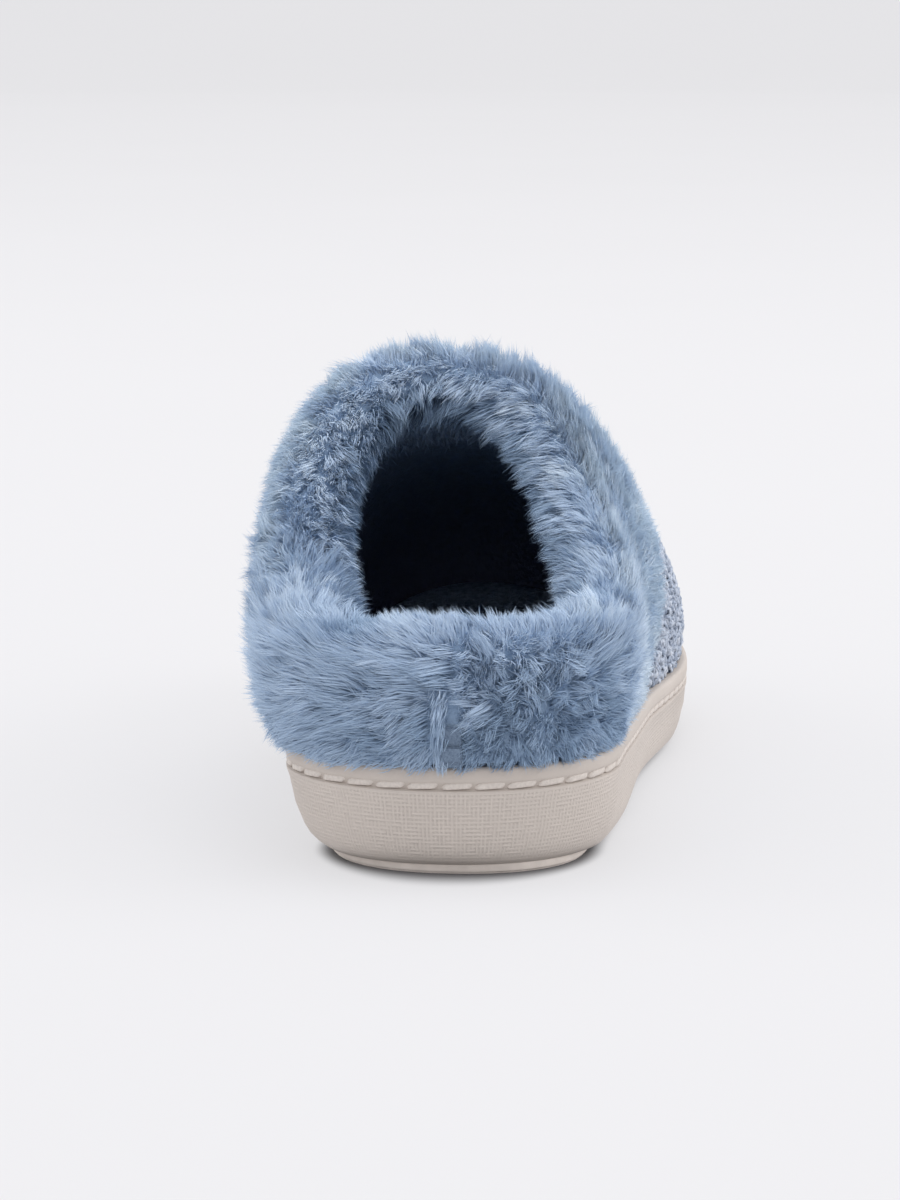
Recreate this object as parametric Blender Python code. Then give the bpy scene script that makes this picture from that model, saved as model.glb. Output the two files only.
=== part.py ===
"""House slipper for the right foot: a moulded cup sole, a foam insole, a hollow knitted upper and
a deep fur cuff round the collar.

The shoe is worked out in millimetres in its own directions: across (+ is the outside of the foot),
along (from the heel to the toe) and up. new_object() turns millimetres into metres.
A place on the sole's outline is a turn: 0 at the heel, 0.5 at the toe, through the outside first.
"""

import math
from collections import namedtuple

import bmesh
import bpy
import numpy as np

# Driving dimensions of the shoe, in millimetres
LENGTH = 262.0
BALL_WIDTH = 98.0
INSTEP_HEIGHT = 97.0
HEEL_HEIGHT = 50.0
MILLIMETRE = 0.001
GAP = 0.3
GOLDEN_ANGLE = math.pi * (3 - math.sqrt(5))

# Sole: cup wall, floor, tread
CUP_WALL = 3.0
CUP_FLOOR = 11.0
LUG_HEIGHT = 2.2
RIM_LUG_WIDTH = 13.0
TREAD_GROOVE = 4.0
SOLE_STEPS = 40
HEEL_ROUND = 36.0
TOE_ROUND = 60.0
ROUND_POWER = 2.15

# Insole: foam pad in the cup
INSOLE_THICK = 8.0
INSOLE_CROWN = 1.2
INSOLE_DISH = 1.5

# Upper: wall and mesh density
UPPER_WALL = 2.8
UPPER_STEPS = 34
UPPER_ROWS = 10

# Fur cuff: clearance, height off the sole's edge, mesh density and locks
CUFF_GAP = 0.6
CUFF_LIFT = 1.4
CUFF_ROWS_OUTSIDE = 7
CUFF_ROWS_TOP = 4
CUFF_ROWS_INSIDE = 3
LOCK_LENGTH = 3.4
LOCK_LEAN = 3.2
LOCK_SPREAD = 0.45

# Sections of the sole from heel to toe. along: share of LENGTH; swing: centre line to the outside, mm;
# width: share of BALL_WIDTH; rise: tread above the floor, mm; edge: top edge above the floor, mm.
Section = namedtuple("Section", "name along swing width rise edge")
SECTIONS = (
    Section("heel_back", 0.00, 0.0, 0.765, 0.0, 25.6),
    Section("heel_seat", 0.14, 0.4, 0.770, 0.0, 25.2),
    Section("heel_front", 0.27, 2.2, 0.780, 0.3, 23.6),
    Section("waist", 0.40, 3.2, 0.805, 1.0, 21.8),
    Section("ball", 0.67, 1.6, 1.000, 0.0, 20.0),
    Section("tread_front", 0.76, 0.3, 0.986, 0.0, 20.1),
    Section("toes", 0.86, -2.0, 0.900, 1.6, 21.0),
    Section("toe_tip", 1.00, -7.0, 0.780, 7.5, 25.5),
)

# Profile of the sole's side from the tread up over the lip into the cup. tuck: lean under the shoe at
# the heel, mm; out: from the outline, mm; share: height as a share of tread to edge; plus: added, mm.
Profile = namedtuple("Profile", "name tuck out share plus")
SOLE_SIDE = (
    Profile("tread_edge", -8.4, 0.0, 0.0, LUG_HEIGHT),
    Profile("bottom_round_low", -6.6, 0.0, 0.0, 3.5),
    Profile("bottom_round_high", -4.0, 0.0, 0.0, 6.8),
    Profile("wall_low", -2.1, 0.0, 0.45, 0.0),
    Profile("wall_high", -0.8, 0.0, 0.68, 0.0),
    Profile("groove_foot", 0.0, 0.0, 1.0, -5.3),
    Profile("groove_floor_low", 0.0, -0.9, 1.0, -4.9),
    Profile("groove_floor_high", 0.0, -0.9, 1.0, -3.9),
    Profile("groove_head", 0.0, 0.1, 1.0, -3.5),
    Profile("lip_outside", 0.0, 0.1, 1.0, -0.8),
    Profile("lip_top", 0.0, -0.7, 1.0, 0.0),
    Profile("lip_inside", 0.0, -CUP_WALL, 1.0, -0.3),
    Profile("cup_foot", 0.0, -CUP_WALL, 0.0, CUP_FLOOR),
)

# Flanks of the sole. turn: place on the outline; lean: how much of the heel's tuck the side takes there;
# inset: rim lugs in from the tread's edge, mm.
Flank = namedtuple("Flank", "name turn lean inset")
FLANKS = (
    Flank("heel", 0.00, 1.00, 0.4),
    Flank("heel_outside", 0.06, 0.80, 0.6),
    Flank("quarter_outside", 0.11, 0.36, 4.5),
    Flank("waist_outside", 0.20, 0.28, 5.0),
    Flank("ball_outside", 0.30, 0.30, 5.0),
    Flank("toe", 0.50, 0.70, 2.5),
    Flank("ball_inside", 0.70, 0.45, 4.0),
    Flank("waist_inside", 0.80, 0.60, 3.5),
    Flank("quarter_inside", 0.88, 0.90, 2.5),
    Flank("heel_inside", 0.94, 1.00, 1.8),
)

# Collar edge of the upper and how the wall reaches it. turn: place on the outline; across, along and
# height: the edge, mm; rise and flare: how the wall leaves the sole; out, fore and drop: how it
# arrives at the edge, seen from the edge.
Collar = namedtuple("Collar", "name turn across along height rise flare out fore drop")
COLLAR = (
    Collar("heel", 0.000, 0.0, 8.0, HEEL_HEIGHT, 9, 2.0, 2, 0, 9),
    Collar("heel_outside", 0.050, 24.5, 19.0, HEEL_HEIGHT - 1, 9, 2.0, 2, 0, 9),
    Collar("quarter_outside", 0.120, 33.0, 50.0, HEEL_HEIGHT + 3, 11, 1.5, 2, 0, 10),
    Collar("instep_outside", 0.210, 28.0, 82.0, INSTEP_HEIGHT - 28, 17, 2.0, 6, 7, 14),
    Collar("shoulder_outside", 0.330, 15.0, 105.0, INSTEP_HEIGHT - 8, 24, 6.0, 14, 28, 13),
    Collar("throat", 0.500, -7.0, 114.0, INSTEP_HEIGHT, 34, 1.0, 0, 68, 24),
    Collar("shoulder_inside", 0.670, -28.0, 105.0, INSTEP_HEIGHT - 6, 26, 3.0, 13, 28, 14),
    Collar("instep_inside", 0.790, -36.5, 82.0, INSTEP_HEIGHT - 24, 20, 3.0, 4, 7, 15),
    Collar("quarter_inside", 0.880, -34.0, 50.0, HEEL_HEIGHT + 4, 12, 2.5, 3, 0, 10),
    Collar("heel_inside", 0.950, -24.5, 19.0, HEEL_HEIGHT - 1, 9, 2.5, 2, 0, 9),
)

# Fur cuff at the same places. bare: share of the wall in front of the cuff, none below 0; outside and
# inside: depth of the pile, mm; hem: share of the pile left at the lower border; turned_in: how far
# the cuff goes down inside, mm.
Cuff = namedtuple("Cuff", "name turn bare outside inside hem turned_in")
CUFF = (
    Cuff("heel", 0.000, -0.3, 9.0, 6.5, 0.50, 20),
    Cuff("heel_outside", 0.050, -0.3, 8.5, 6.5, 0.42, 20),
    Cuff("quarter_outside", 0.120, -0.3, 6.8, 6.5, 0.22, 20),
    Cuff("instep_outside", 0.210, 0.12, 5.0, 6.5, 0.20, 18),
    Cuff("shoulder_outside", 0.330, 0.55, 5.5, 6.0, 0.35, 14),
    Cuff("throat", 0.500, 0.8, 8.0, 3.0, 0.50, 7),
    Cuff("shoulder_inside", 0.670, 0.5, 9.5, 6.0, 0.45, 14),
    Cuff("instep_inside", 0.790, -0.2, 9.5, 6.5, 0.45, 18),
    Cuff("quarter_inside", 0.880, -0.3, 9.5, 6.5, 0.45, 20),
    Cuff("heel_inside", 0.950, -0.3, 9.5, 6.5, 0.50, 20),
)


def curve_through(knots, values, at):
    """A smooth cubic curve through the rows of a table, read at each place in at."""
    knots, values, at = (np.asarray(v, float) for v in (knots, values, at))
    tangents = np.gradient(values, knots)
    cell = np.clip(np.searchsorted(knots, at, side="right") - 1, 0, len(knots) - 2)
    width = knots[cell + 1] - knots[cell]
    t = (at - knots[cell]) / width
    return (
        (1 + 2 * t) * (1 - t) ** 2 * values[cell]
        + t * (1 - t) ** 2 * width * tangents[cell]
        + t * t * (3 - 2 * t) * values[cell + 1]
        + t * t * (t - 1) * width * tangents[cell + 1]
    )


def section(column, along):
    """A column of SECTIONS at distances along the shoe."""
    knots = [row.along * LENGTH for row in SECTIONS]
    return curve_through(knots, [getattr(row, column) for row in SECTIONS], along)


def round_shoe(table, column, turns):
    """A column of FLANKS, COLLAR or CUFF at turns, as a closed loop."""
    knots = [row.turn + lap for lap in (-1, 0, 1) for row in table]
    return curve_through(knots, [getattr(row, column) for row in table] * 3, turns)


def round_end(distance, radius):
    """How much of the full width is left near a rounded end."""
    inside = np.clip(1 - np.asarray(distance) / radius, 0, 1)
    return (1 - inside**ROUND_POWER) ** (1 / ROUND_POWER)


def half_width(along):
    full = section("width", along) * BALL_WIDTH / 2
    return full * round_end(along, HEEL_ROUND) * round_end(LENGTH - along, TOE_ROUND)


def side_path(side, steps):
    """Points on one side of the outline, heel to toe, evenly spaced. side is 1 outside, -1 inside."""
    along = LENGTH * (1 - np.cos(np.linspace(0, math.pi, 600))) / 2
    across = section("swing", along) + side * half_width(along)
    run = np.concatenate([[0], np.cumsum(np.hypot(np.diff(across), np.diff(along)))])
    even = np.linspace(0, run[-1], steps + 1)
    return np.column_stack([np.interp(even, run, across), np.interp(even, run, along)])


def outline(steps):
    """The sole's outline in plan as (points, outward normals), 2 * steps of each, from the heel."""
    outside, inside = side_path(1, steps), side_path(-1, steps)
    points = np.concatenate([outside[:-1], inside[:0:-1]])
    run = np.roll(points, -1, axis=0) - np.roll(points, 1, axis=0)
    normals = np.column_stack([run[:, 1], -run[:, 0]])
    return points, normals / np.linalg.norm(normals, axis=1, keepdims=True)


def ring(plan, out, share, plus):
    """A closed ring round the shoe: moved out from the outline, at a height of the sole's side."""
    points, normals = plan
    flat = points + np.reshape(out, (-1, 1)) * normals
    rise, edge = np.maximum(section("rise", points[:, 1]), 0), section("edge", points[:, 1])
    return np.column_stack([flat, rise + share * (edge - rise) + plus])


def add_ring(mesh, points):
    return [mesh.verts.new(point) for point in points]


def bridge(mesh, lower, upper):
    """Quads between two rings of equal length. Returns the faces, facing out where upper is above."""
    faces = []
    for i in range(len(lower)):
        j = (i + 1) % len(lower)
        faces.append(mesh.faces.new((lower[i], lower[j], upper[j], upper[i])))
    return faces


def ladder(mesh, loop, facing_up):
    """Fills a ring with strips across the shoe. Returns them from heel to toe."""
    count = len(loop)
    faces = []
    for i in range(count // 2):
        outside, inside = (loop[i], loop[i + 1]), (loop[-i - 1], loop[-i % count])
        corners = [v for n, v in enumerate(outside + inside) if v not in (outside + inside)[:n]]
        faces.append(mesh.faces.new(corners if facing_up else corners[::-1]))
    return faces


def new_object(name, mesh, colour, roughness):
    """Turns a bmesh in millimetres into a smooth-shaded object with its own material."""
    bmesh.ops.scale(mesh, vec=(MILLIMETRE,) * 3, verts=mesh.verts)
    data = bpy.data.meshes.new(name)
    mesh.to_mesh(data)
    mesh.free()
    data.shade_smooth()
    data.set_sharp_from_angle(angle=math.radians(40))
    material = bpy.data.materials.new(name)
    material.use_nodes = True
    shader = material.node_tree.nodes["Principled BSDF"]
    shader.inputs["Base Color"].default_value = (*colour, 1.0)
    shader.inputs["Roughness"].default_value = roughness
    shader.inputs["Metallic"].default_value = 0.0
    data.materials.append(material)
    made = bpy.data.objects.new(name, data)
    bpy.context.scene.collection.objects.link(made)
    return made


def lower_lugs(mesh, faces):
    """Pulls a patch of the tread down to the floor as one lug."""
    lug = bmesh.ops.extrude_face_region(mesh, geom=faces)
    corners = [item for item in lug["geom"] if isinstance(item, bmesh.types.BMVert)]
    bmesh.ops.translate(mesh, vec=(0, 0, -LUG_HEIGHT), verts=corners)
    bmesh.ops.delete(mesh, geom=faces, context="FACES_ONLY")


def sole():
    """The moulded cup: side with its stitch groove and lip, floor of the cup, and tread lugs."""
    mesh = bmesh.new()
    plan = outline(SOLE_STEPS)
    turns = np.arange(2 * SOLE_STEPS) / (2 * SOLE_STEPS)
    lean, inset = (round_shoe(FLANKS, column, turns) for column in ("lean", "inset"))
    rings = []
    for row in SOLE_SIDE:
        rings.append(add_ring(mesh, ring(plan, row.tuck * lean + row.out, row.share, row.plus)))
    for lower, upper in zip(rings, rings[1:]):
        bridge(mesh, lower, upper)
    ladder(mesh, rings[-1], facing_up=True)
    rim = SOLE_SIDE[0].tuck * lean - inset
    steps = [rings[0]]
    for inward in (0.0, RIM_LUG_WIDTH, RIM_LUG_WIDTH + TREAD_GROOVE):
        steps.append(add_ring(mesh, ring(plan, rim - inward, 0.0, LUG_HEIGHT)))
    bands = [bridge(mesh, inner, outer) for outer, inner in zip(steps, steps[1:])]
    bars = ladder(mesh, steps[-1], facing_up=False)
    for patch in rim_patches(bands[1]):
        lower_lugs(mesh, patch)
    for bar in bars[2:-2:2]:
        lower_lugs(mesh, [bar])
    return new_object("sole", mesh, (0.47, 0.43, 0.39), 0.6)


def rim_patches(band):
    """Lugs round the tread's rim: one long lug behind the heel, and short ones between notches."""
    heel_lug, lug, notch = 7, 4, 1
    patches = [band[-heel_lug:] + band[:heel_lug]]
    first = heel_lug + notch
    while first + lug <= len(band) - heel_lug - notch:
        patches.append(band[first : first + lug])
        first += lug + notch
    return patches


def insole():
    """The foam pad: flat under, crowned edge and a shallow dish for the foot on top."""
    mesh = bmesh.new()
    plan = outline(UPPER_STEPS)
    side = -(CUP_WALL + GAP + UPPER_WALL + GAP)
    top = CUP_FLOOR + GAP + INSOLE_THICK
    rows = (
        (side, CUP_FLOOR + GAP),
        (side, top - 2 * INSOLE_CROWN),
        (side - INSOLE_CROWN, top - 0.4 * INSOLE_CROWN),
        (side - 4 * INSOLE_CROWN, top),
        (side - 12 * INSOLE_CROWN, top - INSOLE_DISH),
    )
    rings = [add_ring(mesh, ring(plan, out, 0.0, height)) for out, height in rows]
    for lower, upper in zip(rings, rings[1:]):
        bridge(mesh, lower, upper)
    ladder(mesh, rings[0], facing_up=False)
    ladder(mesh, rings[-1], facing_up=True)
    return new_object("insole", mesh, (0.30, 0.40, 0.54), 0.95)


def upper_wall(steps, rows):
    """Outer face of the upper as a grid [row][turn], from the sole's edge up to the collar."""
    points, normals = outline(steps)
    turns = np.arange(len(points)) / len(points)
    zero = np.zeros(len(points))
    foot = ring((points, normals), -(CUP_WALL + GAP), 1.0, 0.0)
    column = {name: round_shoe(COLLAR, name, turns) for name in Collar._fields[2:]}
    edge = np.column_stack([column["across"], column["along"], column["height"]])
    leave = np.column_stack([normals * column["flare"][:, None], column["rise"]])
    arrive = np.column_stack([normals * column["out"][:, None], -column["drop"]])
    arrive += np.column_stack([zero, column["fore"], zero])
    grid = []
    for t in np.linspace(0, 1, rows):
        weights = (1 - t) ** 3, 3 * t * (1 - t) ** 2, 3 * t * t * (1 - t), t**3
        controls = foot, foot + leave, edge + arrive, edge
        grid.append(sum(weight * control for weight, control in zip(weights, controls)))
    return np.array(grid)


def wall_normals(grid):
    """Outward normals of a wall grid [row][turn]."""
    across_turns = np.roll(grid, -1, axis=1) - np.roll(grid, 1, axis=1)
    up_wall = np.gradient(grid, axis=0)
    normals = np.cross(across_turns, up_wall)
    return normals / np.linalg.norm(normals, axis=2, keepdims=True)


def upper():
    """The knitted shell: open at the collar and underneath, its skirt standing in the sole's cup."""
    mesh = bmesh.new()
    plan = outline(UPPER_STEPS)
    skirt = ring(plan, -(CUP_WALL + GAP), 0.0, CUP_FLOOR + GAP)
    rings = [add_ring(mesh, row) for row in [skirt, *upper_wall(UPPER_STEPS, UPPER_ROWS)]]
    for lower, higher in zip(rings, rings[1:]):
        bridge(mesh, lower, higher)
    made = new_object("upper", mesh, (0.36, 0.43, 0.55), 0.95)
    wall = made.modifiers.new("wall", "SOLIDIFY")
    wall.thickness = UPPER_WALL * MILLIMETRE
    wall.offset = -1.0
    wall.use_even_offset = True
    wall.use_rim = True
    return made


def cuff_section(points, normals, cuff):
    """One section of the cuff as a closed loop, and how many of its points carry pile.

    points and normals run up the wall from the cuff's lower border to the collar edge."""
    top, out = points[-1], normals[-1]
    lift = top - points[-2]
    lift = lift / np.linalg.norm(lift)
    swell = cuff.hem + (1 - cuff.hem) * np.sin(np.linspace(0, 1, len(points)) * math.pi / 2)
    outside = points + normals * (CUFF_GAP + cuff.outside * swell)[:, None]
    reach_out = CUFF_GAP + cuff.outside
    reach_in = UPPER_WALL + CUFF_GAP + cuff.inside
    reach_up = CUFF_GAP + (cuff.outside + cuff.inside) / 2
    over = []
    for angle in np.linspace(0, math.pi, CUFF_ROWS_TOP + 2)[1:-1]:
        side = math.cos(angle) * (reach_out if angle < math.pi / 2 else reach_in)
        over.append(top + out * side + lift * reach_up * math.sin(angle))
    depths = np.linspace(0, cuff.turned_in, CUFF_ROWS_INSIDE)
    lining, facing = inner_wall(points, normals, depths)
    taper = np.cos(np.linspace(0, 0.8, CUFF_ROWS_INSIDE) * math.pi / 2)
    inside = lining - facing * (cuff.inside * taper)[:, None]
    pile = np.concatenate([outside, over, inside])
    brim = top + lift * CUFF_GAP + np.outer([-UPPER_WALL - CUFF_GAP, CUFF_GAP], out)
    backing = np.concatenate([lining[::-1], brim, points[::-1] + normals[::-1] * CUFF_GAP])
    return np.concatenate([pile, backing]), len(pile)


def inner_wall(points, normals, depths):
    """Places just inside the upper at depths below the collar edge, and the normals there."""
    steps = np.linalg.norm(np.diff(points[::-1], axis=0), axis=1)
    run = np.concatenate([[0], np.cumsum(steps)])
    places = np.column_stack([np.interp(depths, run, points[::-1, i]) for i in range(3)])
    facing = np.column_stack([np.interp(depths, run, normals[::-1, i]) for i in range(3)])
    facing /= np.linalg.norm(facing, axis=1, keepdims=True)
    return places - facing * (UPPER_WALL + CUFF_GAP), facing


def fur_cuff():
    """The fur band that covers the back of the upper and turns in over the collar, with its locks."""
    fine_rows = 121
    walls = upper_wall(UPPER_STEPS, fine_rows)
    normals = wall_normals(walls)
    turns = np.arange(2 * UPPER_STEPS) / (2 * UPPER_STEPS)
    columns = [round_shoe(CUFF, name, turns) for name in Cuff._fields[2:]]
    cuffs = [Cuff("section", *row) for row in zip(turns, *columns)]
    mesh = bmesh.new()
    loops = []
    for i, cuff in enumerate(cuffs):
        off_sole = np.searchsorted(walls[:, i, 2] - walls[0, i, 2], CUFF_LIFT)
        start = max(cuff.bare * (fine_rows - 1), off_sole)
        rows = np.linspace(start, fine_rows - 1, CUFF_ROWS_OUTSIDE).round().astype(int)
        loop, pile = cuff_section(walls[rows, i], normals[rows, i], cuff)
        loops.append(add_ring(mesh, loop))
    furred = []
    for here, following in zip(loops, loops[1:] + loops[:1]):
        furred += bridge(mesh, following, here)[: pile - 1]
    raise_locks(mesh, furred)
    return new_object("fur_cuff", mesh, (0.27, 0.38, 0.53), 0.9)


def raise_locks(mesh, faces):
    """Makes each furred face a lock: a tip pulled out of its middle and combed over its lower edge."""
    mesh.normal_update()
    lays = []
    for i, face in enumerate(faces):
        down = (face.verts[0].co - face.verts[3].co + face.verts[1].co - face.verts[2].co).normalized()
        aside = face.normal.cross(down)
        stray = math.sin(GOLDEN_ANGLE * i)
        size = 1 + LOCK_SPREAD * math.sin(GOLDEN_ANGLE * i * i)
        lays.append((face.normal * LOCK_LENGTH + (down + aside * stray) * LOCK_LEAN) * size)
    tips = bmesh.ops.poke(mesh, faces=faces)["verts"]
    for tip, lay in zip(tips, lays):
        tip.co += lay


def stand_at_origin(pieces):
    """Moves the shoe so that its box stands on the origin, toe along +Y."""
    bpy.context.view_layer.update()
    corners = np.array([v.co for piece in pieces for v in piece.data.vertices])
    low, high = corners.min(axis=0), corners.max(axis=0)
    middle = (low + high) / 2
    for piece in pieces:
        piece.location = (-middle[0], -middle[1], -low[2])


def main():
    for old in list(bpy.data.objects):
        bpy.data.objects.remove(old)
    stand_at_origin([sole(), insole(), upper(), fur_cuff()])


main()
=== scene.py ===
"""Looks of the house slipper: woven-grain sole with mock stitches, looped knit, plush and long fur.

Shapes are worked out in millimetres in the shoe's own directions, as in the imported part: across (+ is
the outside of the foot), along (heel to toe) and up. to_row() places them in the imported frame.
"""

import math
from collections import namedtuple

import bmesh
import bpy
import numpy as np
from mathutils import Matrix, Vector


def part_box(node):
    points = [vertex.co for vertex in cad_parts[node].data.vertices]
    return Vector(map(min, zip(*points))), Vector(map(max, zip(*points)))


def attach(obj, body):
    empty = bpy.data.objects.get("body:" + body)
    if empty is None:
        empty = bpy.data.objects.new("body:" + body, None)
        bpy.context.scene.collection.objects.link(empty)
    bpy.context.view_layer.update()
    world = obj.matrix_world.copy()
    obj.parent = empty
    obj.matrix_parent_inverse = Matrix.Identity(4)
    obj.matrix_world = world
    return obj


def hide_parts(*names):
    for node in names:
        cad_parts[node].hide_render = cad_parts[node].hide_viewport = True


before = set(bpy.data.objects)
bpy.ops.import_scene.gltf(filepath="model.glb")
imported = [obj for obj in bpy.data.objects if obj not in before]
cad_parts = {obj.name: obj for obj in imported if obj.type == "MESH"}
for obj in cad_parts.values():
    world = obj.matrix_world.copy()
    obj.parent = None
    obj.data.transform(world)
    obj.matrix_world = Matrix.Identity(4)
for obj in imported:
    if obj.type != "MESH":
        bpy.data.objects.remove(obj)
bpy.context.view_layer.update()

MILLIMETRE = 0.001
SEED = 7

# The part's own driving dimensions, in millimetres
LENGTH = 262.0
BALL_WIDTH = 98.0
INSTEP_HEIGHT = 97.0
HEEL_HEIGHT = 50.0
GAP = 0.3
CUP_WALL = 3.0
CUP_FLOOR = 11.0
LUG_HEIGHT = 2.2
LUG_ROUND = 0.6
RIM_LUG_WIDTH = 13.0
TREAD_GROOVE = 4.0
HEEL_ROUND = 36.0
TOE_ROUND = 60.0
ROUND_POWER = 2.15
INSOLE_THICK = 8.0
INSOLE_CROWN = 1.2
INSOLE_DISH = 1.5
UPPER_WALL = 2.8
INSOLE_INSET = CUP_WALL + GAP + UPPER_WALL + GAP
CUFF_GAP = 0.6
CUFF_LIFT = 1.4

# Mesh density, and rows of the upper's wall that loops, plush and cuff are laid out on
SOLE_STEPS = 160
UPPER_STEPS = 120
UPPER_ROWS = 48
LOOP_ROWS = 96
LINING_ROWS = 60
CUFF_WALL_ROWS = 241

# Sole's finish: the weave, plainer away from the heel, and the mock stitches in the groove
WEAVE_PITCH = 0.96
WEAVE_FADE = 34.0
WEAVE_LEAST = 0.6
THREAD_LOWEST = 0.4
STITCH_PITCH = 7.2
STITCH_LENGTH = 7.0
STITCH_THICK = 1.45
STITCH_SLANT = 0.3
STITCH_PROUD = 0.25
STITCH_FLATNESS = 0.7
STITCH_SKEW = 0.35
STITCH_DIP = 0.4
GROOVE_CENTRE = 4.2
GROOVE_DEPTH = 0.9

# Fur: the body under the hairs, its locks and tufts. Pairs are the least and the most.
BODY_SHARE = 0.6
INNER_TAPER = 0.8
LOCK_SIZES = (7.0, 15.0)
LOCK_SWAY = 0.24
LOCK_TONE = 0.07
TUFTS = 8400
TUFT_RADIUS = 0.85
TUFT_LENGTHS = (0.85, 1.12)
TUFT_TONE_SPREAD = 0.03
TUFT_FAN = 0.9
INNER_CALM = 0.5
HEM_FUZZ = 0.25
CREST_TRIM = 0.35
# Painted shade on creased tufts, and painted light on the swell, for each share of the pile a crease takes
CREASE_PAINTED_SHADE = 0.6
# DEEP_POWER: how soon the painted shade sets in down the inside of the roll
DEEP_POWER = 0.4
SHORTEST_REACH = 3.0
LONGEST_HAIR = 15.0
FUR_PIECES = ("fur_outside_back", "fur_outside_front", "fur_inside_front", "fur_inside_back")

# Single hairs of a tuft and their tones, darker at the root: partly own colour, partly painted shade in
# the pile
HAIRS_PER_TUFT = 25
HAIR_WIDTH = 0.24
HAIR_WIDTHS = (0.75, 1.2)
HAIR_LENGTHS = (0.72, 1.06)
HAIR_STEPS = (0.0, 0.55, 1.0)
HAIR_TAPER = (1.0, 0.8)
HAIR_STRAY = 0.55
HAIR_TWIST = 0.25
HAIR_BEND = 0.5
HAIR_CLOSING = 0.4
CLOSING_POWER = 1.3
ROOT_DEPTH = 1.0
LIP_COVER = (-2.2, 0.8)
ROOT_TONE = 0.52
TIP_TONE = 0.22
HAIR_TONE_SPREAD = 0.025

# Rows of the cuff's face: up the outside, over the top and down the inside
CuffRows = namedtuple("CuffRows", "outside top inside")
BODY_ROWS = CuffRows(24, 7, 10)
TUFT_ROWS = CuffRows(40, 10, 16)

# Zones of the roll, in rows of TUFT_ROWS. A slope goes from 0 at its first row to 1 at its last. A bump
# has a middle row and a width.
SLOPES = {"climb": (0, 39), "inner": (34, 50), "within": (45, 66), "high": (14, 42)}
BUMPS = {"crest": (42, 4.0), "rim": (38, 5.6)}
Zones = namedtuple("Zones", [*SLOPES, *BUMPS])

# Looped knit of the vamp. LOOP_TONE is a mean and a spread.
LOOPS = 7000
LOOP_RADIUS = 1.25
LOOP_SIZES = (0.7, 1.2)
LOOP_STRAY = 0.9
LOOP_TILT = (0.2, 1.4)
LOOP_HALF_TURNS = (0.8, 1.5)
LOOP_CLOSING = 0.4
LOOP_LIFT = 0.5
LOOP_DIP = 1.3
LOOP_TONE = (0.58, 0.14)
YARN_RADIUS = 0.64
YARN_SIZES = (0.75, 1.2)
KNIT_START = 0.01
KNIT_OVERLAP = 0.05

# Plush of the footbed and lining, as far along as the opening shows it
BLADES = 12000
BLADE_LENGTH = 3.2
BLADE_LENGTHS = (0.7, 1.1)
BLADE_WIDTH = 0.45
BLADE_STRAY = 0.7
BLADE_LEAN = 0.55
BLADE_TONES = (0.5, 0.5, 1.0)
BLADE_TONE_SPREAD = 0.08
FOOTBED_TONE = 0.65
PLUSH_START = 9.0
PLUSH_END = 165.0
PLUSH_CLEAR = 1.0

# Lining's painted shade and light: dark from here to the toe, and how much painted light it gets behind
# that
DARK_TOE = 140.0
LINING_FADE = 60.0
LINING_PAINTED_LIGHT = 0.55

# Slit in the fur at the centre back: a plain cloth strip with its end folded up at the foot, and a tuft
# that hangs down beside it
SLIT_ACROSS = 2.6
SLIT_HALF_WIDTH = 2.0
SLIT_PARTING = 1.2
SLIT_TOP = 43.0
HANGING_TUFT = -0.9
HANGING_WIDTH = 1.5
HANGING_DROP = 1.3
HANGING_TONE = 0.2
STRIP_WIDTH = 4.6
STRIP_THICK = 0.8
STRIP_ROUND = 0.35
STRIP_LEVELS = (25.8, 35.0)
FOLD_LEVELS = (27.2, 30.8)
STRIP_PROUD = 1.2

# Floor: its own brightness, and how far its painted shadow reaches, all round the shoe's foot and behind
# the heel
FLOOR_GLOW = 0.56
SHADOW_REACH = 4.5
HEEL_SHADOW = 9.0
HEEL_SHADOW_POWER = 30

# Plain materials: finish, scale and detail of the grain, strength and depth of its relief, and its two
# colours, with where on the grain the pale one starts
Grain = namedtuple("Grain", "name roughness specular scale detail strength depth pale_from dark pale")
GRAIN_DARK_TO = 0.3
GRAINS = (
    # The tread rubber is paler than the sole's side as painted light on lugs that stand in shade by the
    # floor
    Grain("tread_rubber", 0.7, 0.3, 260, 6, 0.3, 0.2, 0.7, (0.68, 0.614, 0.56), (0.8, 0.725, 0.665)),
    Grain("stitch_thread", 0.7, 0.25, 1500, 3, 0.5, 0.3, 0.7, (0.56, 0.508, 0.466), (0.67, 0.611, 0.562)),
    Grain("fur_ground", 0.9, 0.1, 420, 5, 0.8, 2.0, 0.75, (0.24, 0.34, 0.49), (0.37, 0.49, 0.65)),
    Grain("footbed_plush", 0.95, 0.1, 700, 6, 0.7, 1.2, 0.72, (0.24, 0.33, 0.45), (0.5, 0.61, 0.74)),
    Grain("knit_ground", 0.95, 0.1, 700, 6, 0.7, 1.2, 0.72, (0.18, 0.222, 0.3), (0.36, 0.418, 0.52)),
    Grain("strip_cloth", 0.9, 0.15, 2400, 3, 0.4, 0.2, 0.7, (0.11, 0.155, 0.225), (0.19, 0.25, 0.34)),
)

# Sections of the sole from heel to toe: along as a share of the length, swing of the middle line, width
# as a share of the ball's, rise of the tread and height of the edge
Section = namedtuple("Section", "name along swing width rise edge")
SECTIONS = (
    Section("heel_back", 0.0, 0.0, 0.765, 0.0, 25.6),
    Section("heel_seat", 0.14, 0.4, 0.77, 0.0, 25.2),
    Section("heel_front", 0.27, 2.2, 0.78, 0.3, 23.6),
    Section("waist", 0.4, 3.2, 0.805, 1.0, 21.8),
    Section("ball", 0.67, 1.6, 1.0, 0.0, 20.0),
    Section("tread_front", 0.76, 0.3, 0.986, 0.0, 20.1),
    Section("toes", 0.86, -2.0, 0.9, 1.6, 21.0),
    Section("toe_tip", 1.0, -7.0, 0.78, 7.5, 25.5),
)

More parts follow.
